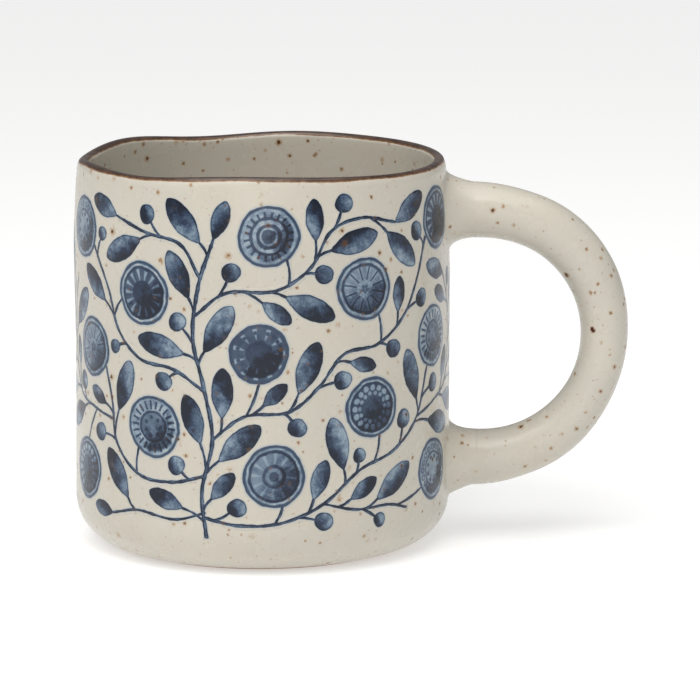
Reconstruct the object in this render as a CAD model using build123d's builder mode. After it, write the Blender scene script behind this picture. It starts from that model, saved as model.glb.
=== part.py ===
"""A hand-finished stoneware mug: a round cup with an uneven lip, a turned foot and a D-shaped handle.

Millimetres, +Z up. The origin is on the cup's axis in the plane that the foot stands on, and the
handle points along +X. Angles round the cup are counted from the handle, anticlockwise from above.
"""

import os
from math import cos, radians, sin

from build123d import *

# The cup
body_radius = 44.0
wall = 3.6
floor_top = 5.4
corner_height = 11.2  # how far the outer corner rises above the glaze line
inner_corner_radius = 8.0
shoulder_height = 66.0  # above this the wall leans in towards the lip
lip_lean = 1.2  # how far the wall has leaned in at the lip
lip_thickness = 2.8
lip_round = 1.2  # edge radius on both sides of the lip

# The lip's crest, pressed uneven by hand: (angle round the cup, height above the table)
lip_crest = [
    (0, 90.6),
    (30, 91.0),
    (62, 91.4),
    (88, 91.3),
    (110, 90.4),
    (141, 91.7),
    (174, 90.2),
    (200, 90.9),
    (230, 90.2),
    (256, 91.1),
    (290, 90.8),
    (325, 90.2),
]
lip_highest = max(height for _, height in lip_crest)
lip_lowest = min(height for _, height in lip_crest)

# The iron glaze on the lip
band_thickness = 0.2
band_depth = 1.3  # how far below the crest the band reaches on both sides of the lip

# The foot
foot_radius = 33.6
foot_width = 3.6
foot_height = 0.5  # bare clay that shows under the glaze line
foot_recess = 1.6  # depth of the hollow inside the ring
foot_edge_round = 0.3

# The handle, which bows out from two short arms
arm_reach = 7.0
bow_radius = 29.2
bow_height = 48.75
arm_depth = 12.6  # section in the handle's own plane, at the wall
arm_width = 13.2
arm_embed = 2.4  # how far the sweep starts inside the wall before it is trimmed to it

# The pulled handle's uneven oval, evenly spaced along it: (width, depth, how far it sits outwards)
handle_sections = [
    (arm_width, arm_depth, 0.0),
    (13.0, 12.4, -0.1),
    (12.7, 12.4, 0.4),
    (12.4, 12.1, 0.4),
    (12.2, 11.0, 0.0),
    (12.4, 10.9, -0.1),
    (12.7, 11.8, 0.1),
    (13.0, 12.4, 0.0),
    (arm_width, arm_depth, 0.0),
]

# The slip bead that smooths each arm into the wall
bead_reach = 6.4  # from the wall to where the bead ends on the arm
bead_spread = 3.2  # how far it stands out from the arm where it starts
bead_feather = 0.12  # its thickness where it ends on the arm
bead_sections = 6
upper_bead_fullness = 0.3  # extra slip half-way along, on the side away from the finger gap
lower_bead_fullness = 0.9

clear = 20.0  # cutting bodies reach this far past what they cut


def lean_line(radius):
    """The upper wall's face, leaning in from a radius to the lip and on past it."""
    lip = (radius, lip_highest)
    end = (radius - lip_lean, lip_highest + clear)
    foot_of_lean = (radius + lip_lean, shoulder_height)
    return Spline(foot_of_lean, lip, end, tangents=[(0, 1), (-lip_lean, clear)])


def outer_half(grow=0.0):
    """Half of the upright section inside the cup's outer face, grown outwards by grow."""
    radius = body_radius + grow
    base = foot_height - grow
    corner_top = foot_height + corner_height
    with BuildSketch(Plane.XZ) as half:
        with BuildLine():
            Line((0, base), (foot_radius, base))
            EllipticalCenterArc(
                (foot_radius, corner_top),
                radius - foot_radius,
                corner_top - base,
                start_angle=270,
                arc_size=90,
            )
            Line((radius, corner_top), (radius, shoulder_height))
            lean = lean_line(radius - lip_lean)
            Polyline(lean @ 1, (0, (lean @ 1).Y), (0, base))
        make_face()
    return half.sketch


def cavity_half(grow=0.0):
    """Half of the upright section of the space inside the cup, shrunk away from the wall by grow."""
    radius = body_radius - wall - grow
    base = floor_top + grow
    corner_top = base + inner_corner_radius
    lip_radius = body_radius - lip_lean - lip_thickness - grow
    with BuildSketch(Plane.XZ) as half:
        with BuildLine():
            Line((0, base), (radius - inner_corner_radius, base))
            RadiusArc((radius - inner_corner_radius, base), (radius, corner_top), -inner_corner_radius)
            Line((radius, corner_top), (lip_radius + lip_lean, shoulder_height))
            lean = lean_line(lip_radius)
            Polyline(lean @ 1, (0, (lean @ 1).Y), (0, base))
        make_face()
    return half.sketch


def crest_surface(drop):
    """The wavy face through the lip's crest, lowered by drop, from inside the cup to well outside it."""

    def loop(radius):
        points = [
            (radius * cos(radians(angle)), radius * sin(radians(angle)), height - drop)
            for angle, height in lip_crest
        ]
        return Edge.make_spline(points, periodic=True)

    return Face.make_surface_from_curves(loop(body_radius / 2), loop(body_radius * 1.5))


def cut_above_crest(drop):
    extrude(crest_surface(drop), amount=2 * clear, dir=(0, 0, 1), mode=Mode.SUBTRACT)


def round_lip(part, radius):
    """Rounds the two long edges that the wavy cut leaves along the lip."""
    along_lip = part.edges().filter_by(lambda edge: edge.bounding_box().min.Z > lip_lowest - band_depth)
    fillet(along_lip, radius=radius)


# Everything inside the cup's outer face, which the handle and its beads are trimmed to.
with BuildPart() as cup_envelope:
    revolve(outer_half(), axis=Axis.Z)


# The cup: wall and floor in one, cut to its wavy crest, rounded over and hollowed inside the foot.
with BuildPart() as cup_body:
    revolve(outer_half(), axis=Axis.Z)
    revolve(cavity_half(), axis=Axis.Z, mode=Mode.SUBTRACT)
    cut_above_crest(0)
    round_lip(cup_body, lip_round)
    with BuildSketch():
        Circle(foot_radius - foot_width)
    extrude(amount=foot_recess, mode=Mode.SUBTRACT)


# The band of iron glaze: the grown lip above the band's lower edge, less the lip itself.
with BuildPart() as rim_band:
    revolve(outer_half(band_thickness), axis=Axis.Z)
    revolve(cavity_half(band_thickness), axis=Axis.Z, mode=Mode.SUBTRACT)
    cut_above_crest(-band_thickness)
    round_lip(rim_band, lip_round + band_thickness)
    extrude(crest_surface(band_depth), amount=2 * clear, dir=(0, 0, 1), mode=Mode.INTERSECT)
    add(cup_body.part, mode=Mode.SUBTRACT)


# The foot: a bare ring of clay that the mug stands on.
with BuildPart() as foot_ring:
    with BuildSketch():
        Circle(foot_radius)
        Circle(foot_radius - foot_width, mode=Mode.SUBTRACT)
    extrude(amount=foot_height)
    fillet(foot_ring.edges().group_by(Axis.Z)[0], radius=foot_edge_round)


# The handle: an oval section swept out along the upper arm, round the bow and back along the lower.
with BuildPart() as handle:
    bow_centre = (body_radius + arm_reach, 0, bow_height)
    upper_end = Vector(body_radius - arm_embed, 0, bow_height + bow_radius)
    lower_end = Vector(body_radius - arm_embed, 0, bow_height - bow_radius)
    with BuildLine() as centreline:
        upper_arm = Line(upper_end, upper_end + (arm_embed + arm_reach, 0, 0))
        bow = ThreePointArc(
            upper_arm @ 1,
            (bow_centre[0] + bow_radius, 0, bow_height),
            lower_end + (arm_embed + arm_reach, 0, 0),
        )
        Line(bow @ 1, lower_end)
    path = centreline.wires()[0]
    for index, (width, depth, outwards) in enumerate(handle_sections):
        place = index / (len(handle_sections) - 1)
        with BuildSketch(Plane(path @ place, x_dir=(0, 1, 0), z_dir=path % place)):
            with Locations((0, outwards)):
                Ellipse(width / 2, depth / 2)
    sweep(path=path, multisection=True)
    add(cup_envelope.part, mode=Mode.SUBTRACT)


def slip_bead(height, away, fullness):
    """The bead of slip round one arm, thick at the wall, fuller away from the gap, feathering out."""
    start = body_radius - arm_embed
    length = arm_embed + bead_reach
    with BuildPart() as bead:
        for index in range(bead_sections):
            along = index / (bead_sections - 1)
            spread = bead_feather + bead_spread * (1 - along) ** 2
            past_wall = max(0, length * along - arm_embed) / bead_reach
            extra = fullness * sin(radians(180 * past_wall))
            with BuildSketch(Plane((start + length * along, 0, height), x_dir=(0, 1, 0), z_dir=(1, 0, 0))):
                with Locations((0, away * extra / 2)):
                    Ellipse(arm_width / 2 + spread, arm_depth / 2 + spread + extra / 2)
        loft()
        add(cup_envelope.part, mode=Mode.SUBTRACT)
        add(handle.part, mode=Mode.SUBTRACT)
    return bead.part


upper_slip_bead = slip_bead(bow_height + bow_radius, 1, upper_bead_fullness)
lower_slip_bead = slip_bead(bow_height - bow_radius, -1, lower_bead_fullness)

pieces = {
    "cup_body": cup_body.part,
    "rim_band": rim_band.part,
    "foot_ring": foot_ring.part,
    "handle": handle.part,
    "upper_slip_bead": upper_slip_bead,
    "lower_slip_bead": lower_slip_bead,
}
os.makedirs("parts", exist_ok=True)
for name, piece in pieces.items():
    piece.label = name
    export_step(piece, f"parts/{name}.step")
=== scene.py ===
"""The looks of a hand-finished stoneware mug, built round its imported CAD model.

Sizes are in millimetres and turn into metres when a mesh is made. The frame is the CAD frame: +Z up,
the cup's axis on the origin, the handle along +X. theta is the angle round the cup, anticlockwise
from the handle. The painted vine is laid out on the unrolled wall.
"""

from functools import reduce
from math import cos, pi, radians, sin

import bpy
import numpy as np
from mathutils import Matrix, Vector


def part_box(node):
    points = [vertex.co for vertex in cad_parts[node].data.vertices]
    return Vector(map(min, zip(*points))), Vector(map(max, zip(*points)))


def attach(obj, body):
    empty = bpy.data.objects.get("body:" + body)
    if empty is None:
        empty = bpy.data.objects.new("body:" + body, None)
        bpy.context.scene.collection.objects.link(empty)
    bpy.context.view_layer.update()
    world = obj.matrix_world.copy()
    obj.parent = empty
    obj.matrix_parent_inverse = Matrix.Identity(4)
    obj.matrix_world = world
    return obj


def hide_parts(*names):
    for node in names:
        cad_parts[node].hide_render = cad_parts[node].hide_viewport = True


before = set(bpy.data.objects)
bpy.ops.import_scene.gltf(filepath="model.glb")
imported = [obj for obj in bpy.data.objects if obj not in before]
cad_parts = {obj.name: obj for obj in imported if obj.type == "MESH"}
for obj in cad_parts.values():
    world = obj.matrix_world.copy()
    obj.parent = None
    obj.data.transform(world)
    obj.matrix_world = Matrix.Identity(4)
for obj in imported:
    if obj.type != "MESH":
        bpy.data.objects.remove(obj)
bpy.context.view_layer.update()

MM = 0.001
ROOT = "root"


# ---------------------------------------------------------------- sizes, from the frame where it has them

def highest_corner(node):
    """A CAD node's highest corner in millimetres."""
    return np.array(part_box(node)[1]) / MM


cup_high = highest_corner("cup_body")
foot_high = highest_corner("foot_ring")
BODY_RADIUS = cup_high[1]
FOOT_RADIUS = foot_high[0]
FOOT_HEIGHT = foot_high[2]
FOOT_WIDTH = 3.6
FOOT_RECESS = 1.6
CORNER_HEIGHT = 11.2
WALL = 3.6
FLOOR_TOP = 5.4
INNER_CORNER = 8.0
SHOULDER = 66.0
LIP_LEAN = 1.2
LIP_THICKNESS = 2.8
LIP_MEAN = 90.8
LIP_OUTER_DROP = 2.7  # the lip is rounded over a greater height outside than inside
LIP_INNER_DROP = 1.3
BAND_LIFT = 0.1
BAND_DEPTH = 0.95  # below the crest

ARM_END = 51.0
BOW_RADIUS = 29.2
BOW_HEIGHT = 48.75
HANDLE_START = BODY_RADIUS - 2.4
HANDLE_LENGTH = 2 * (ARM_END - HANDLE_START) + pi * BOW_RADIUS
# The pulled handle's uneven oval, evenly spaced along it: (width, depth, how far it sits outwards)
HANDLE_SECTIONS = [(13.2, 12.6, 0.0), (13.0, 12.4, -0.1), (12.7, 12.4, 0.4), (12.4, 12.1, 0.4),
                   (12.2, 11.0, 0.0), (12.4, 10.9, -0.1), (12.7, 11.8, 0.1), (13.0, 12.4, 0.0),
                   (13.2, 12.6, 0.0)]
ARM_SWELL = 0.55  # the outer side thickens towards the wall by this much more than in the CAD
BEAD_REACH = 6.4
BEAD_SPREAD = 3.0
BEAD_FULLNESS = {"upper": 0.3, "lower": 0.6}  # most extra slip, near the wall, away from the finger gap

CUP_SEGMENTS = 288


def smooth(x, low, high):
    """0 below low, 1 above high and an S-curve between."""
    t = np.clip((np.asarray(x, float) - low) / (high - low), 0, 1)
    return t * t * (3 - 2 * t)


def travelled_along(line):
    """How far along a line each of its points is."""
    return np.concatenate([[0], np.cumsum(np.linalg.norm(np.diff(line, axis=0), axis=1))])


def between(a, b, c, d, t):
    """The smooth curve from b to c whose neighbours are a and d."""
    bend = (2 * a - 5 * b + 4 * c - d) * t**2 + (3 * b - a - 3 * c + d) * t**3
    return b + 0.5 * ((c - a) * t + bend)


def round_axis(radius, theta, z):
    """Points at a radius, an angle and a height, each one number or many."""
    return np.stack(np.broadcast_arrays(radius * np.cos(theta), radius * np.sin(theta), z), -1)


def lip_fit():
    """The lip's height as a few waves round the cup, fitted to the top of the CAD lip."""
    co = np.array([v.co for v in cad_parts["cup_body"].data.vertices]) / MM
    near_top = co[(np.hypot(co[:, 0], co[:, 1]) > BODY_RADIUS - 5) & (co[:, 2] > cup_high[2] - 4)]
    angle = np.arctan2(near_top[:, 1], near_top[:, 0])
    sectors = 60
    sector = ((angle + pi) / (2 * pi) * sectors).astype(int) % sectors
    tops = [near_top[sector == i][np.argmax(near_top[sector == i][:, 2])] for i in range(sectors)]
    tops = np.array(tops)
    waves = lip_waves(np.arctan2(tops[:, 1], tops[:, 0]))
    return np.linalg.lstsq(waves, tops[:, 2], rcond=None)[0]


def lip_waves(theta):
    theta = np.asarray(theta, float)
    waves = [f(k * theta) for k in range(1, 8) for f in (np.cos, np.sin)]
    return np.stack([np.ones_like(theta)] + waves, -1)


LIP = lip_fit()


def lip_height(theta):
    return lip_waves(theta) @ LIP


def hand_wobble(theta, z):
    """How far the wall falls inside a true cylinder: a slight waist opposite the handle, and soft dents."""
    waist = 0.32 * np.exp(-(((z - 46) / 19) ** 2)) * (0.5 - 0.5 * np.cos(theta)) ** 2
    dents = 0.07 * (1 + np.sin(3 * theta + 0.9 + z / 37)) + 0.04 * (1 + np.sin(5 * theta - z / 21))
    return (waist + dents) * smooth(z, 3, 16)


def lean(z):
    return LIP_LEAN * np.clip((z - SHOULDER) / (LIP_MEAN - SHOULDER), 0, None) ** 2


def wall_radius(theta, z):
    """The outer wall's radius at an angle and a height above the corner's start."""
    corner_top = FOOT_HEIGHT + CORNER_HEIGHT
    drop = np.clip((corner_top - z) / CORNER_HEIGHT, 0, 1)
    corner = (BODY_RADIUS - FOOT_RADIUS) * (1 - np.sqrt(1 - drop**2))
    return BODY_RADIUS - corner - lean(z) - hand_wobble(theta, z)


# ---------------------------------------------------------------- meshes

def new_object(name, data):
    made = bpy.data.objects.new(name, data)
    bpy.context.scene.collection.objects.link(made)
    return made


def mesh_object(name, points, faces, slot, material, attributes=None, replaces=()):
    """A smooth mesh piece that rides on the mug, from points in millimetres."""
    mesh = bpy.data.meshes.new(name)
    mesh.from_pydata((np.asarray(points) * MM).tolist(), [], faces)
    mesh.polygons.foreach_set("use_smooth", [True] * len(mesh.polygons))
    for key, values in (attributes or {}).items():
        values = np.asarray(values, np.float32)
        kind, field = ("FLOAT", "value") if values.ndim == 1 else ("FLOAT_VECTOR", "vector")
        mesh.attributes.new(key, kind, "POINT").data.foreach_set(field, values.ravel())
    mesh.validate()
    piece = new_object(name, mesh)
    mesh.materials.append(material)
    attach(piece, ROOT)
    if replaces:
        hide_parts(*replaces)
    return piece


def rows_to_faces(rows, columns, wrap_rows=False):
    """Quads of a grid whose columns close into rings, and whose rows may too."""
    faces = []
    for i in range(rows if wrap_rows else rows - 1):
        below, above = i * columns, (i + 1) % rows * columns
        for j in range(columns):
            k = (j + 1) % columns
            faces.append((below + j, below + k, above + k, above + j))
    return faces


def cap(ring_start, columns, centre, flip):
    """A fan from one ring to its centre point."""
    fan = [(ring_start + j, ring_start + (j + 1) % columns, centre) for j in range(columns)]
    return [face[::-1] for face in fan] if flip else fan


def rings_with_caps(rings):
    """Points and faces of a closed body made of rings, with a fan at each end."""
    rows, columns = rings.shape[:2]
    points = np.concatenate([rings.reshape(-1, 3), rings[:1].mean(1), rings[-1:].mean(1)])
    first, last = rows * columns, rows * columns + 1
    faces = rows_to_faces(rows, columns) + cap(0, columns, first, True)
    faces += cap((rows - 1) * columns, columns, last, False)
    return points, faces


def rings_in_a_loop(rings):
    """Points and faces of a body whose last ring meets its first."""
    return rings.reshape(-1, 3), rows_to_faces(*rings.shape[:2], wrap_rows=True)


def ring_angles(count):
    return np.arange(count) / count * 2 * pi


def lip_profile(theta, across, lift=0.0):
    """A point over the lip. across runs from -1, outside, over the crest at 0 to 1, inside."""
    half = LIP_THICKNESS / 2
    turn = across * pi / 2
    drop = LIP_OUTER_DROP if across < 0 else LIP_INNER_DROP
    crest = lip_height(theta)
    middle = wall_radius(theta, crest - drop) - half
    facing = np.array([drop * sin(turn), half * cos(turn)])
    facing /= np.hypot(*facing)
    return middle - half * sin(turn) - lift * facing[0], crest - drop * (1 - cos(turn)) + lift * facing[1]


def inner_radius(theta, z):
    thickness = WALL + (LIP_THICKNESS - WALL) * np.clip(z / SHOULDER, 0, 1)
    return wall_radius(theta, z) - thickness


def build_cup(material):
    """Underside, corner, wall, lip, inside and floor, as rings from the middle of one to the other."""
    theta = ring_angles(CUP_SEGMENTS)
    rings = []

    def add(radius, z):
        rings.append(round_axis(radius, theta, z))

    recess_edge = FOOT_RADIUS - FOOT_WIDTH
    fillet = 0.3
    for share in (0.02, 0.25, 0.5, 0.75, 0.95, 0.99):
        add(recess_edge * share, FOOT_RECESS)
    for turn in np.linspace(0, pi / 2, 5):
        add(recess_edge - fillet + fillet * sin(turn), FOOT_RECESS - fillet + fillet * cos(turn))
    add(recess_edge, FOOT_HEIGHT)
    for turn in np.linspace(0, pi / 2, 22):
        z = FOOT_HEIGHT + CORNER_HEIGHT * (1 - cos(turn))
        add(wall_radius(theta, z) if turn else FOOT_RADIUS, z)
    wall_bottom = FOOT_HEIGHT + CORNER_HEIGHT
    top = lip_height(theta) - LIP_OUTER_DROP
    for share in np.linspace(0, 1, 58)[1:]:
        z = wall_bottom + (top - wall_bottom) * share
        add(wall_radius(theta, z), z)
    for across in np.linspace(-1, 1, 29)[1:-1]:
        add(*lip_profile(theta, across))
    inside_bottom = FLOOR_TOP + INNER_CORNER
    inner_top = lip_height(theta) - LIP_INNER_DROP
    for share in np.linspace(1, 0, 44):
        z = inside_bottom + (inner_top - inside_bottom) * share
        add(inner_radius(theta, z), z)
    corner_radius = inner_radius(theta, inside_bottom) - INNER_CORNER
    for turn in np.linspace(0, pi / 2, 13)[1:]:
        add(corner_radius + INNER_CORNER * cos(turn), inside_bottom - INNER_CORNER * sin(turn))
    for share in (0.85, 0.6, 0.35, 0.15, 0.02):
        add(corner_radius * share, FLOOR_TOP - 0.25 * (1 - share))
    points, faces = rings_with_caps(np.array(rings))
    return mesh_object("cup_body_glazed", points, faces, "speckled_glaze", material, replaces=["cup_body"])


def build_rim_band(material):
    """The iron glaze over the lip, with its uneven edges sunk into the wall's glaze."""
    theta = ring_angles(CUP_SEGMENTS)
    uneven = 0.1 * np.sin(4 * theta + 1) + 0.07 * np.sin(9 * theta) + 0.05 * np.sin(17 * theta + 2)
    outer, back, from_edge = [], [], []
    for share in np.linspace(-1, 1, 45):
        drop = LIP_OUTER_DROP if share < 0 else LIP_INNER_DROP
        depth = BAND_DEPTH * (1.0 if share < 0 else 0.96) + uneven * (1 if share < 0 else -0.8)
        edge_turn = np.arccos(np.clip(1 - depth / drop, -1, 1)) / (pi / 2)
        across = share * edge_turn
        gap = (1 - abs(share)) * edge_turn * (drop + LIP_THICKNESS / 2) / 2 * (pi / 2)
        lift = BAND_LIFT * smooth(gap, 0, 0.7) - 0.01
        spots = [(lip_profile(t, a, up), lip_profile(t, a, -0.4)) for t, a, up in zip(theta, across, lift)]
        for rings, which in ((outer, 0), (back, 1)):
            radius, z = np.array([spot[which] for spot in spots]).T
            rings.append(round_axis(radius, theta, z))
        from_edge.append(gap)
    rings = np.array(outer + back[::-1])
    edge = np.concatenate([np.array(from_edge).ravel(), np.zeros(len(back) * CUP_SEGMENTS)])
    return mesh_object("rim_band_iron", *rings_in_a_loop(rings), "iron_rim_glaze", material,
                       {"from_edge": edge}, replaces=["rim_band"])


def build_foot_ring(material):
    theta = ring_angles(CUP_SEGMENTS)
    inner, outer, edge = FOOT_RADIUS - FOOT_WIDTH, FOOT_RADIUS, 0.3
    outline = [(inner, FOOT_HEIGHT), (outer - 0.02, FOOT_HEIGHT), (outer, FOOT_HEIGHT - 0.03)]
    outline += [(outer - edge + edge * cos(t), edge - edge * sin(t)) for t in np.linspace(0, pi / 2, 6)]
    outline += [((inner + outer) / 2, 0.0)]
    outline += [(inner + edge - edge * sin(t), edge - edge * cos(t)) for t in np.linspace(0, pi / 2, 6)]
    rings = np.array([round_axis(radius, theta, z) for radius, z in outline])
    return mesh_object("foot_ring_clay", *rings_in_a_loop(rings), "bare_clay", material,
                       replaces=["foot_ring"])


def oval(count, depth, width):
    """A section of the handle, slightly fuller than an ellipse. Columns are in its plane and across."""
    angle = ring_angles(count)
    c, s = np.cos(angle), np.sin(angle)
    fullness = 2.15  # 2 is an ellipse
    size = (np.abs(c) ** fullness + np.abs(s) ** fullness) ** (-1 / fullness)
    return np.stack([depth / 2 * size * c, width / 2 * size * s], -1)


def handle_station(distance):
    """Centre and outward normal in the handle's plane at a distance along the path."""
    arm = ARM_END - HANDLE_START
    bow = pi * BOW_RADIUS
    if distance < arm:
        return (HANDLE_START + distance, BOW_HEIGHT + BOW_RADIUS), (0.0, 1.0)
    if distance > arm + bow:
        return (ARM_END - (distance - arm - bow), BOW_HEIGHT - BOW_RADIUS), (0.0, -1.0)
    turn = (distance - arm) / BOW_RADIUS
    normal = (sin(turn), cos(turn))
    return (ARM_END + BOW_RADIUS * normal[0], BOW_HEIGHT + BOW_RADIUS * normal[1]), normal


def handle_section(distance):
    """The handle's width, depth and how far it sits outwards, smoothly between its sections."""
    rows = np.array(HANDLE_SECTIONS)
    place = distance / HANDLE_LENGTH * (len(rows) - 1)
    first = min(int(place), len(rows) - 2)
    near = (rows[min(max(first + step, 0), len(rows) - 1)] for step in (-1, 0, 1, 2))
    section = between(*near, place - first)
    swell = ARM_SWELL * (1 - smooth(min(distance, HANDLE_LENGTH - distance), 7, 20))
    return section + np.array((0, swell, swell / 2))


def build_handle(material):
    rings = []
    for distance in np.linspace(0, HANDLE_LENGTH, 170):
        (x, z), (nx, nz) = handle_station(distance)
        width, depth, outwards = handle_section(distance)
        from_bead = min(distance, HANDLE_LENGTH - distance) - BEAD_REACH
        uneven = (0.09 * sin(distance / 9.0) + 0.06 * sin(distance / 4.3 + 1)) * smooth(from_bead, 3, 14)
        section = oval(72, depth + uneven, width - uneven) + (outwards, 0)
        rings.append(np.stack([x + nx * section[:, 0], section[:, 1], z + nz * section[:, 0]], -1))
    points, faces = rings_with_caps(np.array(rings))
    return mesh_object("handle_loop", points, faces, "speckled_glaze", material, replaces=["handle"])


def build_slip_bead(which, away, material):
    """The smoothed joint of one arm: a concave collar that meets the wall and the arm edge to edge."""
    end = BODY_RADIUS + BEAD_REACH
    height = BOW_HEIGHT + away * BOW_RADIUS

    def ring(share, spread):
        width, depth, outwards = handle_section(BODY_RADIUS + BEAD_REACH * max(share, 0) - HANDLE_START)
        out = min(max(share, 0), 1)
        hump = 27 / 4 * out * (1 - out) ** 2  # 1 at its highest, a third of the way out
        extra = BEAD_FULLNESS[which] * hump
        section = oval(96, depth + 2 * spread + extra, width + 2 * spread)
        y, z = section[:, 1], height + section[:, 0] + away * (outwards + extra / 2)
        wall_x = wall_radius(0, z) - 0.5 * y**2 / BODY_RADIUS
        for _ in range(4):
            wall_x = np.sqrt(wall_radius(np.arctan2(y, wall_x), z) ** 2 - y**2)
        return np.stack([wall_x + (end - wall_x) * share, y, z], -1)

    shares = 1 - np.cos(np.linspace(0, pi / 2, 26))
    outer = [ring(-0.04, BEAD_SPREAD + 0.1)]
    outer += [ring(s, BEAD_SPREAD * (1 - np.sqrt(1 - (1 - s) ** 2.2)) - 0.03 * s**2) for s in shares]
    rings = np.array(outer + [ring(1.02, -0.15), ring(0.5, -0.5), ring(-0.1, -0.5)])
    return mesh_object(f"{which}_slip_collar", *rings_in_a_loop(rings), "speckled_glaze", material,
                       replaces=[f"{which}_slip_bead"])


# ---------------------------------------------------------------- shading

class Shade:
    """A material's nodes, written as expressions."""

    def __init__(self, name):
        self.material = bpy.data.materials.new(name)
        self.material.use_nodes = True
        self.tree = self.material.node_tree
        self.surface = next(n for n in self.tree.nodes if n.type == "BSDF_PRINCIPLED")
        self.place = self.node("ShaderNodeTexCoord").outputs["Object"]

    def node(self, kind, **settings):
        made = self.tree.nodes.new(kind)
        for key, value in settings.items():
            setattr(made, key, value)
        return made

    def put(self, socket, value):
        if isinstance(value, bpy.types.NodeSocket):
            self.tree.links.new(value, socket)
        elif value is not None:
            socket.default_value = value

    def math(self, operation, *values):
        made = self.node("ShaderNodeMath", operation=operation)
        for socket, value in zip(made.inputs, values):
            self.put(socket, value)
        return made.outputs[0]

    def fold(self, operation, values):
        return reduce(lambda so_far, value: self.math(operation, so_far, value), values)

    def add(self, *values):
        return self.fold("ADD", values)

    def mul(self, *values):
        return self.fold("MULTIPLY", values)

    def most(self, *values):
        return self.fold("MAXIMUM", values)

    def minus(self, value, less):
        return self.math("SUBTRACT", value, less)

    def length(self, x, y):
        return self.math("SQRT", self.add(self.mul(x, x), self.mul(y, y)))

    def rise(self, value, low, high, start=0.0, end=1.0):
        """An S-curve from start at low to end at high."""
        made = self.node("ShaderNodeMapRange", interpolation_type="SMOOTHSTEP")
        for socket, number in zip(made.inputs, (value, low, high, start, end)):
            self.put(socket, number)
        return made.outputs[0]

    def line(self, value, centre, half, soft):
        """1 where value is within half of centre, fading out over soft."""
        return self.below(self.math("ABSOLUTE", self.minus(value, centre)), half, soft)

    def below(self, value, top, soft):
        """1 where value is below top, fading out over soft."""
        return self.rise(value, top, top + soft, 1.0, 0.0)

    def attribute(self, name, output="Fac"):
        return self.node("ShaderNodeAttribute", attribute_name=name).outputs[output]

    def parts(self, value, kind="XYZ"):
        """A vector's or a colour's three numbers."""
        made = self.node(f"ShaderNodeSeparate{kind}")
        self.put(made.inputs[0], value)
        return made.outputs

    def moved(self, *shift):
        """The place on the mug, moved, so that two patterns don't line up."""
        where = self.node("ShaderNodeVectorMath", operation="ADD")
        self.put(where.inputs[0], self.place)
        where.inputs[1].default_value = shift
        return where.outputs[0]

    def noise(self, size, detail=3.0, roughness=0.5, shift=0.0):
        """Noise of about this feature size in millimetres, from 0 to 1."""
        made = self.node("ShaderNodeTexNoise")
        self.put(made.inputs["Vector"], self.moved(shift, 0.6 * shift, -0.4 * shift))
        made.inputs["Scale"].default_value = 1 / (size * MM)
        made.inputs["Detail"].default_value = detail
        made.inputs["Roughness"].default_value = roughness
        return made.outputs["Fac"]

    def drift(self, low, high, *noise, shift=0.0):
        """Noise stretched to wander between low and high."""
        return self.rise(self.noise(*noise, shift=shift), 0.3, 0.7, low, high)

    def finish(self, colour, roughness, bump, bump_height, ior=1.5):
        """Sets the surface. bump is its strength and its depth in millimetres."""
        inputs = self.surface.inputs
        self.put(inputs["Base Color"], colour)
        self.put(inputs["Roughness"], roughness)
        inputs["IOR"].default_value = ior
        made = self.node("ShaderNodeBump")
        made.inputs["Strength"].default_value = bump[0]
        made.inputs["Distance"].default_value = bump[1] * MM
        self.put(made.inputs["Height"], bump_height)
        self.put(inputs["Normal"], made.outputs[0])
        return self.material

    def mix(self, share, low, high):
        made = self.node("ShaderNodeMix", data_type="RGBA")
        self.put(made.inputs["Factor"], share)
        for label, colour in (("A", low), ("B", high)):
            socket = next(s for s in made.inputs if s.name == label and s.type == "RGBA")
            self.put(socket, colour if isinstance(colour, bpy.types.NodeSocket) else (*colour, 1.0))
        return next(s for s in made.outputs if s.type == "RGBA")

    def ramp(self, value, *stops):
        """A colour ramp with stops of (place, colour)."""
        made = self.node("ShaderNodeValToRGB")
        self.put(made.inputs["Fac"], value)
        elements = made.color_ramp.elements
        while len(elements) < len(stops):
            elements.new(1.0)
        for element, (place, colour) in zip(elements, stops):
            element.position = place
            element.color = (*colour, 1.0)
        return made.outputs["Color"]

    def spots(self, spacing, smallest, largest, keep, shift):
        """Round spots scattered in space: (share of the spot's core, share of its halo)."""
        cells = self.node("ShaderNodeTexVoronoi", feature="F1")
        self.put(cells.inputs["Vector"], self.moved(shift, shift * 0.7, shift * 0.3))
        cells.inputs["Scale"].default_value = 1 / (spacing * MM)
        random = self.parts(cells.outputs["Color"], "Color")
        size = self.rise(random[0], 0.0, 1.0, smallest / spacing, largest / spacing)
        kept = self.math("LESS_THAN", random[1], keep)
        ragged = self.drift(0.75, 1.25, 0.35, 1.0, shift=shift)
        reach = self.math("DIVIDE", self.mul(cells.outputs["Distance"], ragged), size)
        core = self.mul(self.rise(reach, 0.35, 0.75, 1.0, 0.0), kept)
        halo = self.mul(self.rise(reach, 0.5, 1.5, 1.0, 0.0), kept)
        return core, halo


CREAM = (0.537, 0.505, 0.434)
CREAM_WARM = (0.515, 0.472, 0.395)
CREAM_COOL = (0.514, 0.487, 0.424)
GRAIN = (0.42, 0.36, 0.28)
IRON_CORE = (0.07, 0.028, 0.009)
IRON_HALO = (0.35, 0.2, 0.085)
RED_IRON = (0.055, 0.008, 0.003)
PALE_BLUE = (0.235, 0.305, 0.37)
MID_BLUE = (0.07, 0.11, 0.17)
DEEP_BLUE = (0.016, 0.031, 0.065)
BLACK_BLUE = (0.004, 0.008, 0.019)
HALO_ON_PAINT = 0.22  # an iron spot's halo shows less over the pigment
BIG_SPOT = (76.9, -5.6, 50.5)  # one large iron spot on the handle's bow


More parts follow.
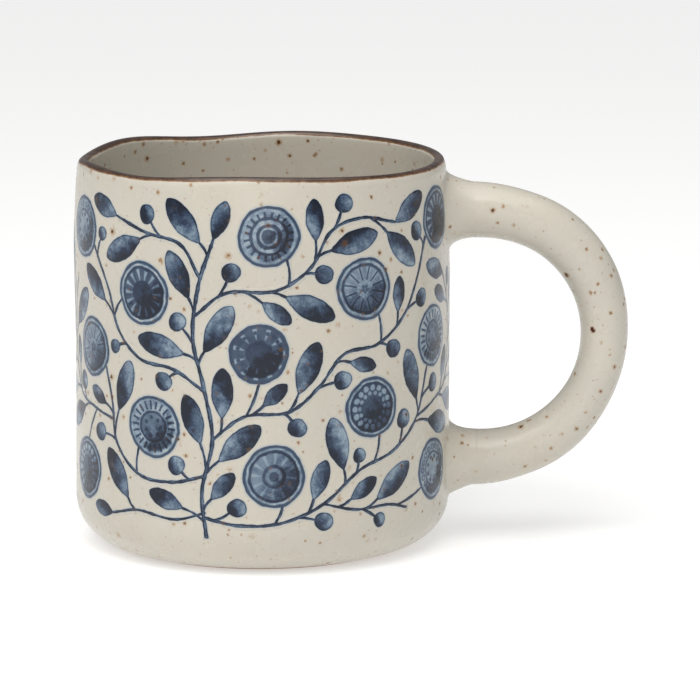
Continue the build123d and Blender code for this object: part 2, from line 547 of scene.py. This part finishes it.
def cream_glaze(shade):
    """The glaze's own colour: cream with faint warm and cool clouds and a fine grain."""
    clouds = shade.rise(shade.noise(17.0, 2.0), 0.35, 0.68)
    colour = shade.mix(clouds, CREAM, CREAM_COOL)
    warm = shade.mul(shade.rise(shade.noise(9.0, 1.0, shift=0.3), 0.42, 0.82), 0.45)
    colour = shade.mix(warm, colour, CREAM_WARM)
    grain = shade.mul(shade.rise(shade.noise(0.55, 2.0, 0.6, shift=0.7), 0.6, 0.85), 0.16)
    return shade.mix(grain, colour, GRAIN)


def speckle(shade, colour, halo_share=1.0):
    """Iron spots that burn through everything under the glaze. Returns the colour and the spots' cores."""
    cores = None
    for spacing, smallest, largest, keep, dark, rusty, shift in (
        (5.2, 0.48, 0.85, 0.55, 1.00, 0.75, 0.11),
        (2.9, 0.28, 0.54, 0.72, 0.62, 0.75, 0.37),
        (1.7, 0.15, 0.24, 0.55, 0.32, 0.42, 0.83),
    ):
        core, halo = shade.spots(spacing, smallest, largest, keep, shift)
        colour = shade.mix(shade.mul(halo, rusty, halo_share), colour, IRON_HALO)
        colour = shade.mix(shade.mul(core, dark), colour, IRON_CORE)
        cores = core if cores is None else shade.most(cores, core)
    return colour, cores


def finish_glaze(shade, colour, cores):
    """Satin-gloss glaze: the colour, a soft gloss and a faint orange peel with a pit at each spot."""
    shade.surface.inputs["Specular IOR Level"].default_value = 0.36
    peel = shade.mul(shade.noise(1.6, 2.0, 0.45, shift=0.2), 0.5)
    height = shade.minus(peel, shade.mul(cores, 0.5))
    gloss = shade.drift(0.22, 0.31, 6.0, 3.0, shift=0.5)
    return shade.finish(colour, gloss, (0.22, 0.05), height)


def glaze_material(name):
    shade = Shade(name)
    colour = cream_glaze(shade)
    height = shade.parts(shade.place)[2]
    thin = shade.rise(shade.add(height, shade.mul(shade.noise(3.0), 0.5 * MM)),
                      (FOOT_HEIGHT + 0.2) * MM, (FOOT_HEIGHT + 1.0) * MM, 0.85, 0.0)
    colour = shade.mix(thin, colour, (0.34, 0.2, 0.1))
    colour, cores = speckle(shade, colour)
    away = shade.node("ShaderNodeVectorMath", operation="DISTANCE")
    shade.put(away.inputs[0], shade.place)
    away.inputs[1].default_value = tuple(n * MM for n in BIG_SPOT)
    reach = shade.add(away.outputs["Value"], shade.drift(-0.15 * MM, 0.15 * MM, 0.6, 1.0))
    colour = shade.mix(shade.rise(reach, 0.6 * MM, 1.15 * MM, 0.8, 0.0), colour, IRON_HALO)
    colour = shade.mix(shade.rise(reach, 0.55 * MM, 0.85 * MM, 1.0, 0.0), colour, RED_IRON)
    return finish_glaze(shade, colour, cores)


def painted_glaze(shade, density):
    """Glaze over pigment of a density from 0, none, to 1, where it has pooled almost black."""
    pigment = shade.ramp(density, (0.0, PALE_BLUE), (0.28, PALE_BLUE), (0.55, MID_BLUE), (0.8, DEEP_BLUE),
                         (1.0, BLACK_BLUE))
    cover = shade.rise(density, 0.02, 0.3)
    colour = shade.mix(cover, cream_glaze(shade), pigment)
    return finish_glaze(shade, *speckle(shade, colour, HALO_ON_PAINT))


def watercolour(shade):
    """Uneven wash: slow pooling and a fine grain, centred on 0."""
    slow = shade.drift(-0.5, 0.5, 2.6, 3.0, 0.6, shift=0.9)
    fine = shade.drift(-0.5, 0.5, 0.45, 2.0, 0.6, shift=0.15)
    return shade.add(shade.mul(slow, 0.26), shade.mul(fine, 0.09))


def brush_material():
    """Stems, leaves and berries. from_edge is mm inside the outline, side runs across a stroke."""
    shade = Shade("indigo_brushwork")
    wander = shade.drift(-0.05, 0.05, 1.5, 1.0, 0.4, shift=0.4)
    edge = shade.add(shade.attribute("from_edge"), wander)
    side = shade.attribute("side")
    tone = shade.attribute("tone")
    wash = watercolour(shade)
    body = shade.add(tone, wash, shade.rise(shade.add(side, shade.mul(wash, 0.8)), -0.65, 0.8, -0.14, 0.4))
    outline = shade.rise(edge, 0.12, 0.4, 0.26, 0.0)
    inside = shade.rise(edge, -0.1, 0.08)
    halo = shade.rise(edge, -0.75, 0.05, 0.0, 0.13)
    return painted_glaze(shade, shade.most(shade.mul(shade.add(body, outline), inside), halo))


def blossom_material(name, strokes):
    """A round blossom painted stroke by stroke on a pale wash. Radii are shares of the blossom's own.

    Strokes: ("disc", from, to, density), ("ring", radius, half width, density),
    ("ticks", count, from, to, half width, density), ("wedges", count, from, to, spread, density),
    ("dots", count, radius, size, density) and ("loops", count, radius, size, half width, density).
    """
    shade = Shade(name)
    x, y, tone = shade.parts(shade.attribute("motif", "Vector"))
    wander = shade.drift(-0.015, 0.015, 2.4, 2.0, 0.4, shift=0.6)
    angle = shade.math("ARCTAN2", y, x)
    radius = shade.add(shade.length(x, y), wander)
    soft = 0.035
    wash = watercolour(shade)
    density = shade.add(shade.mul(wash, 0.8), tone)

    def around(count):
        """Distance along the circle from the nearest of count evenly spaced spokes."""
        turns = shade.mul(angle, count / (2 * pi))
        turns = shade.add(turns, shade.mul(wander, 0.8 * count / 6))
        step = shade.minus(turns, shade.math("ROUND", turns))
        return shade.mul(step, 2 * pi / count, radius)

    def within(low, high):
        return shade.mul(shade.rise(radius, low - soft, low), shade.below(radius, high, soft))

    def towards(target, *share):
        return shade.add(density, shade.mul(shade.minus(target, density), *share))

    for kind, *values, target in strokes:
        if kind == "disc":
            mask = within(*values)
        elif kind == "ring":
            mask = shade.line(radius, *values, soft)
        elif kind == "ticks":
            count, low, high, half = values
            mask = shade.mul(shade.line(around(count), 0.0, half, soft), within(low, high))
        elif kind == "wedges":
            count, low, high, spread = values
            gap = shade.math("ABSOLUTE", around(count))
            open_by = shade.mul(shade.add(radius, -low + 0.06), spread)
            mask = shade.rise(shade.minus(gap, open_by), -soft, soft, 1.0, 0.0)
            mask = shade.mul(mask, within(low, high))
        else:
            count, ring, size, *half = values
            gap = shade.length(around(count), shade.minus(radius, ring))
            mask = shade.line(gap, size, *half, soft) if half else shade.below(gap, size, soft)
        density = towards(target, mask, 0.9)

    pool_x, pool_y = 0.62, -0.78
    pooled = shade.add(shade.mul(x, pool_x), shade.mul(y, pool_y), shade.mul(wash, 1.3))
    pool = shade.mul(shade.rise(pooled, -0.15, 0.62, 0.0, 0.42), shade.rise(radius, 0.74, 0.84, 1.0, 0.0))
    density = shade.add(density, pool, shade.mul(wash, 0.35))
    outline = shade.line(radius, 0.955, 0.028, 0.05)
    density = towards(0.8, outline, 0.85)
    density = shade.mul(density, shade.rise(radius, 0.98, 1.02, 1.0, 0.0))
    return painted_glaze(shade, shade.most(density, shade.rise(radius, 1.0, 1.13, 0.15, 0.0)))


BLOSSOM_STROKES = {
    "wheel": [("disc", 0.0, 0.76, 0.44), ("wedges", 12, 0.22, 0.68, 0.16, 0.27), ("ring", 0.77, 0.025, 0.8),
              ("ticks", 12, 0.3, 0.7, 0.012, 0.72), ("dots", 5, 0.1, 0.05, 0.7)],
    "target": [("ring", 0.58, 0.03, 0.78), ("ring", 0.36, 0.035, 0.8), ("disc", 0.0, 0.22, 0.74),
               ("ticks", 20, 0.62, 0.78, 0.022, 0.76)],
    "seeds": [("disc", 0.0, 0.52, 0.36), ("ring", 0.55, 0.025, 0.76), ("dots", 9, 0.4, 0.055, 0.82),
              ("loops", 18, 0.72, 0.075, 0.012, 0.66)],
    "beads": [("disc", 0.0, 0.78, 0.8), ("dots", 16, 0.66, 0.08, 0.3), ("dots", 14, 0.48, 0.055, 0.36),
              ("ring", 0.8, 0.02, 0.85)],
    "rays": [("disc", 0.0, 0.78, 0.76), ("wedges", 14, 0.4, 0.72, 0.17, 0.28), ("disc", 0.0, 0.38, 0.86),
             ("ring", 0.8, 0.02, 0.82)],
    "button": [("disc", 0.0, 0.46, 0.56), ("ring", 0.48, 0.022, 0.8), ("dots", 7, 0.3, 0.05, 0.8),
               ("ticks", 22, 0.58, 0.82, 0.02, 0.78)],
    "hub": [("disc", 0.0, 0.78, 0.5), ("wedges", 12, 0.4, 0.72, 0.15, 0.3), ("ring", 0.79, 0.025, 0.82),
            ("ring", 0.33, 0.03, 0.76), ("disc", 0.0, 0.15, 0.8)],
    "cells": [("disc", 0.0, 0.9, 0.74), ("wedges", 11, 0.5, 0.84, 0.2, 0.3),
              ("dots", 11, 0.72, 0.045, 0.78), ("disc", 0.0, 0.42, 0.82)],
}


def iron_material():
    """Dark brown iron glaze that breaks to orange where it runs thin at its edges."""
    shade = Shade("iron_rim_glaze")
    uneven = shade.drift(-0.08, 0.08, 1.6, 2.0, shift=0.2)
    edge = shade.add(shade.attribute("from_edge"), uneven)
    clouds = shade.rise(shade.noise(3.4, 3.0, shift=0.8), 0.35, 0.7)
    dark = shade.mix(clouds, (0.036, 0.017, 0.011), (0.072, 0.038, 0.025))
    brown = shade.mix(shade.rise(edge, 0.3, 0.62), (0.22, 0.105, 0.038), dark)
    colour = shade.mix(shade.rise(edge, 0.02, 0.3), cream_glaze(shade), brown)
    return shade.finish(colour, shade.drift(0.24, 0.36, 2.0, 2.0), (0.25, 0.06), shade.noise(0.9), ior=1.55)


def clay_material():
    """Bare fired clay: matt, warm brown, gritty."""
    shade = Shade("bare_clay")
    grit = shade.rise(shade.noise(0.5, 3.0, 0.6), 0.35, 0.7)
    clouds = shade.drift(0.0, 1.0, 5.0, 2.0, shift=0.3)
    colour = shade.mix(clouds, (0.4, 0.25, 0.145), (0.32, 0.19, 0.105))
    colour = shade.mix(shade.mul(grit, 0.5), colour, (0.2, 0.115, 0.06))
    return shade.finish(colour, 0.85, (0.5, 0.1), shade.noise(0.35))


# ---------------------------------------------------------------- the painted vine's layout

# The wall unrolled, in mm: x runs round it from the middle of the front towards the handle, y is height.
AROUND = 2 * pi * BODY_RADIUS
PATTERN_LOW, PATTERN_HIGH = 9.0, 88.4
HANDLE_X = AROUND / 4
ARM_CLEAR = 9.8  # the paint keeps this far from the middle of each arm
TRUNK, BRANCH, TWIG = 0.92, 0.74, 0.62  # stroke widths
CLEAR = 1.0  # between leaves and what is beside them
BERRIES_APART = 14.0
BLOSSOM_RADIUS = 7.1

# Two trees, front and back: where each stands, and which way round
TREES = {"front": (0.0, 1), "back": (AROUND / 2, -1)}

# A tree's boughs, and its blossoms on a staggered lattice between them
BOUGHS = {
    "trunk": (TRUNK, [(-12, 9.5), (-13, 20), (-10.5, 32), (-12.5, 44), (-15, 55), (-13.5, 67), (-10.5, 76)]),
    "right_low": (BRANCH, [(-12.6, 14), (-5, 12.5), (5, 13), (15, 17), (24, 24), (34, 27.5), (42, 34),
                           (46.5, 45)]),
    "right_middle": (BRANCH, [(-10.5, 32), (-3, 37.5), (7, 38.5), (14, 44), (20, 51), (29, 52.5), (37, 58),
                              (42, 66), (45.5, 75)]),
    "right_high": (BRANCH, [(-14.5, 60), (-7, 65.5), (4, 66), (12, 71), (17, 79), (25, 81.5), (33, 80)]),
    "left_low": (BRANCH, [(-12.4, 23.5), (-21, 21.5), (-30, 22.5), (-37, 29), (-38.5, 38), (-41, 46)]),
    "left_middle": (BRANCH, [(-12.4, 43), (-20, 47.5), (-29, 49), (-36, 55), (-39.5, 64), (-45.5, 73)]),
    "left_high": (BRANCH, [(-13.4, 69), (-18, 76), (-27, 78), (-35, 80.5)]),
    "far_right": (TWIG, [(42, 34), (50, 36.5), (58, 40), (61.5, 48), (61, 57), (57, 64)]),
    "far_left": (TWIG, [(-38, 34), (-46, 35.5), (-55, 38), (-60, 46), (-60.5, 56), (-57, 64)]),
    "foot_right": (TWIG, [(15, 17), (23, 15), (32, 15), (38, 13.5)]),
    "foot_left": (TWIG, [(-12.5, 15), (-20, 13), (-30, 14), (-37, 12.5)]),
}
BLOSSOMS = [(-50, 21), (-47, 50), (-52, 77), (-25, 34), (-28, 64), (3, 24), (0, 52), (2, 78.5), (27, 38),
            (25, 66), (50, 21), (49, 52), (52.5, 78.5)]


def curve_through(knots, spacing=0.6):
    """Evenly spaced points of a smooth curve through its knots."""
    knots = np.asarray(knots, float)
    padded = np.concatenate([[2 * knots[0] - knots[1]], knots, [2 * knots[-1] - knots[-2]]])
    t = np.linspace(0, 1, 24, endpoint=False)[:, None]
    runs = [between(*near, t) for near in zip(padded, padded[1:], padded[2:], padded[3:])]
    line = np.concatenate(runs + [knots[-1:]])
    travelled = travelled_along(line)
    even = np.linspace(0, travelled[-1], max(4, int(travelled[-1] / spacing)))
    return np.stack([np.interp(even, travelled, line[:, i]) for i in (0, 1)], -1)


def turned(direction, degrees):
    c, s = cos(radians(degrees)), sin(radians(degrees))
    return np.array([c * direction[0] - s * direction[1], s * direction[0] + c * direction[1]])


def heading(line, at):
    step = line[min(at + 1, len(line) - 1)] - line[at - 1]
    return step / np.linalg.norm(step)


def leaf_half_width(share, width):
    """A leaf's half width at a share of its length: slim at its base, full and blunt at its tip."""
    oval_share = 1 - np.abs(2 * np.clip(share, 0, 1) - 1) ** 2.3
    return width / 2 * oval_share**0.62 * (0.62 + 0.38 * smooth(share, 0, 0.45))


class Room:
    """The room left on the unrolled wall: a fine grid of distances to the nearest painted shape."""

    STEP = 0.4
    REACH = 14.0

    def __init__(self):
        self.x = np.arange(int(AROUND / self.STEP)) * (AROUND / int(AROUND / self.STEP))
        self.y = np.arange(0, PATTERN_HIGH, self.STEP)
        to_border = np.minimum(self.y - PATTERN_LOW, PATTERN_HIGH - self.y)
        self.free = np.repeat(to_border[None], len(self.x), 0)

    def take(self, centres, radii):
        centres = np.atleast_2d(centres)
        for (x, y), radius in zip(centres, np.broadcast_to(radii, len(centres))):
            across = (self.x - x + AROUND / 2) % AROUND - AROUND / 2
            near = np.abs(across) < self.REACH
            far = np.hypot(across[near][:, None], self.y[None] - y) - radius
            self.free[near] = np.minimum(self.free[near], far)

    def gap(self, centres, radii):
        """The smallest gap between some circles and everything painted."""
        centres = np.atleast_2d(centres)
        i = np.round(centres[:, 0] % AROUND / (AROUND / len(self.x))).astype(int) % len(self.x)
        j = np.clip(np.round(centres[:, 1] / self.STEP).astype(int), 0, len(self.y) - 1)
        return (self.free[i, j] - radii).min()


class Vine:
    """One tree's strokes by bough: stems (width, line), leaves (base, tip, width), berries and blossoms."""

    def __init__(self, middle, hand, room, rng):
        self.room, self.rng = room, rng
        self.lines = {}
        self.stems, self.leaves, self.berries = ({name: [] for name in BOUGHS} for _ in range(3))
        self.blossoms = []
        for x, y in BLOSSOMS:
            centre = np.array([middle + hand * x, y]) + rng.uniform(-0.6, 0.6, 2)
            radius = BLOSSOM_RADIUS + rng.uniform(-0.25, 0.25)
            self.blossoms.append((centre, radius))
            room.take(centre, radius)
        for name, (width, places) in BOUGHS.items():
            line = curve_through(np.array(places) * (hand, 1) + (middle, 0))
            self.lines[name] = line
            self.draw_stem(name, width, line)
        for centre, radius in self.blossoms:
            self.hang_blossom(centre, radius)

    def draw_stem(self, name, width, line):
        self.stems[name].append((width, line))
        self.room.take(line, width / 2)

    def hang_blossom(self, centre, radius):
        """A stalk from the nearest bough, leaving it a little before the blossom."""
        gaps = {name: np.hypot(*(line - centre).T) for name, line in self.lines.items()}
        name = min(gaps, key=lambda key: gaps[key].min())
        line, at = self.lines[name], gaps[name].argmin()
        towards = (line[at] - centre) / gaps[name][at]
        start, rim = line[max(at - 5, 0)], centre + towards * (radius - 0.3)
        bend = (start + rim) / 2 + 0.12 * (line[at] - start)
        self.draw_stem(name, TWIG, curve_through([start, bend, rim]))

    def add_leaf(self, name, base, going, length):
        width = 0.34 * length + 1.1
        share = np.linspace(0.06, 0.94, 8)
        centres = base + np.outer(share * length, going)
        half = leaf_half_width(share, width)
        if self.room.gap(centres, half) < CLEAR:
            return False
        self.leaves[name].append((base, base + going * length, width))
        self.room.take(centres, half)
        return True

    def add_berry(self, name, base, going, radius):
        centre = base + going * (radius - 0.2)
        apart = [np.hypot(*(centre - other)) for others in self.berries.values() for other, _ in others]
        if self.room.gap(centre, radius) < CLEAR or min(apart, default=BERRIES_APART) < BERRIES_APART:
            return False
        self.berries[name].append((centre, radius))
        self.room.take(centre, radius)
        return True

    def shoot(self, name, at, side, angle, stalk, add, size):
        """A leaf or a berry on a short curved stalk, if there is room for it."""
        line = self.lines[name]
        start, along = line[at], heading(line, at)
        knee = start + turned(along, side * angle * 0.75) * stalk / 2
        going = turned(along, side * angle)
        base = knee + going * stalk / 2
        if stalk > 4 and self.room.gap((knee + base) / 2, TWIG / 2) < 0.7:
            return False
        if not add(name, base, going, size):
            return False
        self.draw_stem(name, TWIG, curve_through([start, knee, base + going * 0.4]))
        return True

    def finish_tips(self):
        """A leaf at the end of each bough that no blossom ends."""
        for name, line in self.lines.items():
            if min(np.hypot(*(line[-1] - centre)) - radius for centre, radius in self.blossoms) < 1.5:
                continue
            along = heading(line, len(line) - 2)
            base = line[-1] + along * (CLEAR + 0.6)
            for length in (12.0, 10.5, 9.0, 7.5):
                turns = (0, 20, -20, 40, -40)
                if any(self.add_leaf(name, base, turned(along, turn), length) for turn in turns):
                    self.draw_stem(name, TWIG, np.linspace(line[-1], base, 4))
                    break

    def fill(self, add, size, stalks):
        """Shoots of one size along every bough, wherever they fit."""
        for name in self.rng.permutation(list(self.lines)):
            for at in self.rng.permutation(np.arange(4, len(self.lines[name]) - 3, 2)):
                sides = self.rng.permutation([-1, 1])
                tries = [(side, angle, stalk) for side in sides for angle in (34, 48, 62) for stalk in stalks]
                any(self.shoot(name, at, *way, add, size) for way in tries)


def grow_vines():
    rng = np.random.default_rng(3)
    room = Room()
    for height in (BOW_HEIGHT + BOW_RADIUS, BOW_HEIGHT - BOW_RADIUS):
        room.take((HANDLE_X, height), ARM_CLEAR)
    vines = {tree: Vine(middle, hand, room, rng) for tree, (middle, hand) in TREES.items()}
    for vine in vines.values():
        vine.finish_tips()
    for kind, size in (("leaf", 12.6), ("leaf", 11.6), ("berry", 2.2), ("leaf", 10.5), ("leaf", 9.4),
                       ("berry", 1.7), ("leaf", 8.2), ("leaf", 7.2)):
        for vine in vines.values():
            if kind == "leaf":
                vine.fill(vine.add_leaf, size, (3.4, 4.6, 6.0))
            else:
                vine.fill(vine.add_berry, size, (2.6, 4.2))
    return vines


# ---------------------------------------------------------------- painting the vine

HALO = 0.75
MOTIF_CYCLE = ["wheel", "rays", "target", "seeds", "hub", "beads", "button", "cells"]


def on_wall(flat, lift):
    """Points on the cup's wall from places on the unrolled wall, raised by lift."""
    theta = 1.5 * pi + flat[..., 0] / BODY_RADIUS
    height = flat[..., 1]
    radius = wall_radius(theta, height) + lift
    return round_axis(radius, theta, height)


def stroke_lift(from_edge):
    """How far paint stands on the wall: its halo is flush and its rim is sunk."""
    return -0.015 + 0.019 * smooth(from_edge, -HALO, -HALO + 0.15) + 0.042 * smooth(from_edge, -0.35, 0.4)


def nearest(points, outline):
    """Distance from each point to a closed outline of many points."""
    start, step = outline, np.roll(outline, -1, axis=0) - outline
    reach = points[:, None, :] - start[None]
    share = np.clip((reach * step).sum(-1) / np.maximum((step**2).sum(-1), 1e-12), 0, 1)
    return np.linalg.norm(reach - share[..., None] * step[None], axis=-1).min(1)


def shape_rings(outline, spine):
    """Rings from a halo outside an outline in to its spine. Returns flat points and mm inside the outline."""
    ahead, behind = np.roll(outline, -1, axis=0), np.roll(outline, 1, axis=0)
    along = ahead - behind
    outward = np.stack([along[:, 1], -along[:, 0]], -1)
    outward /= np.linalg.norm(outward, axis=1, keepdims=True)
    halo_gaps = (HALO, 0.55, 0.25, 0.08)
    rings = [outline + outward * gap for gap in halo_gaps]
    rings += [spine + (outline - spine) * share for share in (1.0, 0.93, 0.8, 0.62, 0.42, 0.2, 0.0)]
    edges = [np.full(len(outline), -gap) for gap in halo_gaps]
    edges += [nearest(ring, outline) for ring in rings[len(halo_gaps):]]
    return np.array(rings), np.array(edges)


class Strokes:
    """Collects thin closed shapes on the wall and makes one piece of them."""

    def __init__(self):
        self.points, self.faces = [], []
        self.values = {}
        self.count = 0

    def put(self, flat, from_edge, extra_lift, rings_closed, values):
        """A grid of flat points, rows from rim to middle or along a stem, as a closed sliver."""
        rows, columns = from_edge.shape
        top = on_wall(flat, stroke_lift(from_edge) + extra_lift)
        sunk = on_wall(flat, -0.15)
        size = rows * columns
        grid = np.arange(size).reshape(rows, columns) + self.count
        right = np.roll(grid, -1, axis=1) if rings_closed else grid[:, 1:]
        left = grid if rings_closed else grid[:, :-1]
        quads = np.stack([left[:-1], right[:-1], right[1:], left[1:]], -1).reshape(-1, 4)
        self.faces += quads.tolist() + (quads[:, ::-1] + size).tolist()
        rim = [(left[0], right[0])]
        if not rings_closed:
            rim += [(right[-1], left[-1]), (grid[1:, 0], grid[:-1, 0]), (grid[:-1, -1], grid[1:, -1])]
        for a, b in rim:
            self.faces += np.stack([b, a, a + size, b + size], -1).tolist()
        self.points += [top.reshape(-1, 3), sunk.reshape(-1, 3)]
        for key, value in values.items():
            flat_value = np.asarray(value, float).reshape(size, -1)
            self.values.setdefault(key, []).append(np.concatenate([flat_value, flat_value]))
        self.count += 2 * size

    def shape(self, outline, spine, dark_way, tone):
        """A filled outline that darkens the way dark_way points."""
        rings, edges = shape_rings(outline, spine)
        side = (rings - outline.mean(0)) @ dark_way
        side /= np.abs((outline - outline.mean(0)) @ dark_way).max()
        values = {"from_edge": edges, "side": side, "tone": np.full(edges.shape, tone)}
        self.put(rings, edges, 0.0, True, values)

    def make(self, name, material):
        values = {key: np.concatenate(parts) for key, parts in self.values.items()}
        values = {key: v[:, 0] if v.shape[1] == 1 else v for key, v in values.items()}
        points = np.concatenate(self.points)
        return mesh_object(name, points, self.faces, "indigo_underglaze", material, values)


def closed_outline(centre, out, angle):
    return centre + np.stack([out * np.cos(angle), out * np.sin(angle)], -1)


def leaf(strokes, base, tip, width, tone, dark_turn):
    along = tip - base
    length = np.linalg.norm(along)
    along /= length
    across = np.array([-along[1], along[0]])
    share = 0.5 - 0.5 * np.cos(np.linspace(0, pi, 26))
    half = leaf_half_width(share, width)
    middle = base + np.outer(share * length, along)
    right, left = middle - np.outer(half, across), middle + np.outer(half, across)
    outline = np.concatenate([right, left[-2:0:-1]])
    along_spine = np.clip(np.concatenate([share, share[-2:0:-1]]), 0.12, 0.9)
    spine = base + np.outer(along_spine * length, along)
    strokes.shape(outline, spine, turned(along, dark_turn), tone)


def berry(strokes, centre, radius, tone):
    angle = ring_angles(28)
    out = radius * (1 + 0.04 * np.sin(2 * angle + centre[0]) + 0.03 * np.sin(3 * angle + centre[1]))
    outline = closed_outline(centre, out, angle)
    dark_side = np.array([-0.9, -0.44])
    strokes.shape(outline, np.repeat(centre[None], len(angle), 0), dark_side, tone)


def stem(strokes, width, line, tone):
    """A brushed line, slightly uneven in width, with soft ends."""
    reach = 0.35
    ends = np.array([2 * line[0] - line[1], 2 * line[-1] - line[-2]])
    line = np.concatenate([ends[:1], line, ends[1:]])
    travelled = travelled_along(line)
    along = np.gradient(line, axis=0)
    along /= np.linalg.norm(along, axis=1, keepdims=True)
    across = np.stack([-along[:, 1], along[:, 0]], -1)
    half = width / 2 * (1 + 0.1 * np.sin(travelled * 0.9 + line[0, 0]) + 0.06 * np.sin(travelled * 2.3))
    outer = [1.4, 1 + 0.5 / 0.45, 1 + HALO / 0.45]
    offsets = np.array([-gap for gap in outer[::-1]] + [-1, -0.55, 0, 0.55, 1] + outer)
    flat = line[:, None] + offsets[None, :, None] * half[:, None, None] * across[:, None]
    edge = half[:, None] * (1 - np.abs(offsets))[None]
    to_end = np.minimum(travelled, travelled[-1] - travelled) - 0.6 + reach
    edge = np.clip(np.minimum(edge, to_end[:, None]), -HALO, None)
    side = np.repeat(np.clip(offsets, -1, 1)[None] * 0.4, len(line), 0)
    strokes.put(flat, edge, 0.0, False, {"from_edge": edge, "side": side, "tone": np.full(edge.shape, tone)})


def paint_bough(tree, name, vine, rng, material):
    strokes = Strokes()
    for width, line in vine.stems[name]:
        stem(strokes, width, line, 0.6)
    for base, tip, width in vine.leaves[name]:
        leaf(strokes, base, tip, width, rng.uniform(0.52, 0.7), rng.uniform(20, 130) * rng.choice([-1, 1]))
    for centre, radius in vine.berries[name]:
        berry(strokes, centre, radius, rng.uniform(0.52, 0.66))
    return strokes.make(f"bough_{tree}_{name}", material)


def paint_blossom(tree, index, centre, radius, turn, tone, material):
    angle = ring_angles(64)
    uneven = 0.016 * np.sin(2 * angle + index) + 0.012 * np.sin(3 * angle + 2 * index)
    out = radius * (1 + uneven + 0.006 * np.sin(5 * angle + 3 * index))
    outline = closed_outline(centre, out, angle)
    rings, edges = shape_rings(outline, np.repeat(centre[None], len(angle), 0))
    flat = (rings - centre) / out[None, :, None]
    c, s = cos(turn), sin(turn)
    x, y = c * flat[..., 0] - s * flat[..., 1], s * flat[..., 0] + c * flat[..., 1]
    motif = np.stack([x, y, np.full(edges.shape, tone)], -1)
    strokes = Strokes()
    strokes.put(rings, edges, 0.02 * smooth(edges, -0.3, 0.5), True, {"motif": motif})
    return strokes.make(f"blossom_{tree}_{index + 1:02d}", material)


def paint_pattern():
    rng = np.random.default_rng(5)
    brush = brush_material()
    blossoms = {name: blossom_material(f"blossom_{name}", drawn) for name, drawn in BLOSSOM_STROKES.items()}
    for tree, vine in grow_vines().items():
        for name in BOUGHS:
            paint_bough(tree, name, vine, rng, brush)
        for index, (centre, radius) in enumerate(vine.blossoms):
            motif = MOTIF_CYCLE[(3 * index + len(tree)) % len(MOTIF_CYCLE)]
            paint_blossom(tree, index, centre, radius, rng.uniform(-0.5, 0.5), rng.uniform(0.26, 0.42),
                          blossoms[motif])


# ---------------------------------------------------------------- stage

CAMERA_TARGET = (20.58, 0, 44.8)
CAMERA_DISTANCE = 903
CAMERA_ELEVATION = radians(10.26)
CAMERA_LENS = 197.8  # for a sensor 36 mm wide
WORLD_STRENGTH = 0.28
KEY_STRENGTH, KEY_SPREAD, KEY_WAY = 1.25, radians(60), (0.29, 0.52, -0.8)
# Soft boxes in metres and watts: place, size, power, colour
BOXES = {
    "window": ((-0.7, -0.55, 0.42), (0.35, 0.6), 0.25, (0.97, 0.985, 1.0)),
    "overhead_strip": ((-0.1, -0.34, 0.6), (0.6, 0.14), 0.6, (1.0, 0.99, 0.97)),
    "overhead_box": ((0.0, -0.15, 0.7), (0.8, 0.8), 3.0, (1.0, 0.985, 0.96)),
    "warm_fill": ((0.0, -0.9, 0.12), (0.5, 0.4), 0.85, (1.0, 0.93, 0.88)),
}
BOXES_AIM = (0.04, 0, 0.045)
FLOOR_REACH = 6.0
FLOOR_ALBEDO = 0.62
FLOOR_GLOW = 0.48  # the floor is partly self-lit, which weakens the mug's shadow


def aim(made, way):
    made.rotation_euler = Vector(way).to_track_quat("-Z", "Y").to_euler()


def build_camera():
    target = Vector(CAMERA_TARGET) * MM
    data = bpy.data.cameras.new("camera")
    data.lens, data.sensor_width = CAMERA_LENS, 36
    camera = new_object("camera", data)
    away = Vector((0, -cos(CAMERA_ELEVATION), sin(CAMERA_ELEVATION)))
    camera.location = target + CAMERA_DISTANCE * MM * away
    aim(camera, target - camera.location)
    bpy.context.scene.camera = camera


def area_light(name, place, size, power, colour):
    data = bpy.data.lights.new(name, "AREA")
    data.shape, data.size, data.size_y = "RECTANGLE", *size
    data.energy, data.color = power, colour
    light = new_object(name, data)
    light.location = place
    aim(light, Vector(BOXES_AIM) - Vector(place))


def build_stage():
    world = bpy.data.worlds.new("studio")
    world.use_nodes = True
    background = world.node_tree.nodes["Background"]
    background.inputs["Color"].default_value = (0.98, 0.99, 1.0, 1)
    background.inputs["Strength"].default_value = WORLD_STRENGTH
    bpy.context.scene.world = world
    sun = bpy.data.lights.new("key", "SUN")
    sun.energy, sun.angle, sun.color = KEY_STRENGTH, KEY_SPREAD, (1.0, 0.99, 0.97)
    aim(new_object("key", sun), KEY_WAY)
    for name, box in BOXES.items():
        area_light(name, *box)
    mesh = bpy.data.meshes.new("floor")
    corners = [(x * FLOOR_REACH, y * FLOOR_REACH, 0) for x, y in ((-1, -1), (1, -1), (1, 1), (-1, 1))]
    mesh.from_pydata(corners, [], [(0, 1, 2, 3)])
    floor = new_object("floor", mesh)
    material = bpy.data.materials.new("floor_white")
    material.use_nodes = True
    surface = material.node_tree.nodes["Principled BSDF"]
    surface.inputs["Base Color"].default_value = (FLOOR_ALBEDO, FLOOR_ALBEDO, FLOOR_ALBEDO, 1)
    surface.inputs["Roughness"].default_value = 0.9
    surface.inputs["Emission Color"].default_value = (1, 1, 1, 1)
    surface.inputs["Emission Strength"].default_value = FLOOR_GLOW
    mesh.materials.append(material)
    bpy.context.scene.view_settings.view_transform = "Standard"


build_camera()
build_stage()
glaze = glaze_material("speckled_glaze")
build_cup(glaze)
build_handle(glaze)
build_slip_bead("upper", 1, glaze)
build_slip_bead("lower", -1, glaze)
build_foot_ring(clay_material())
build_rim_band(iron_material())
paint_pattern()

bpy.context.view_layer.update()
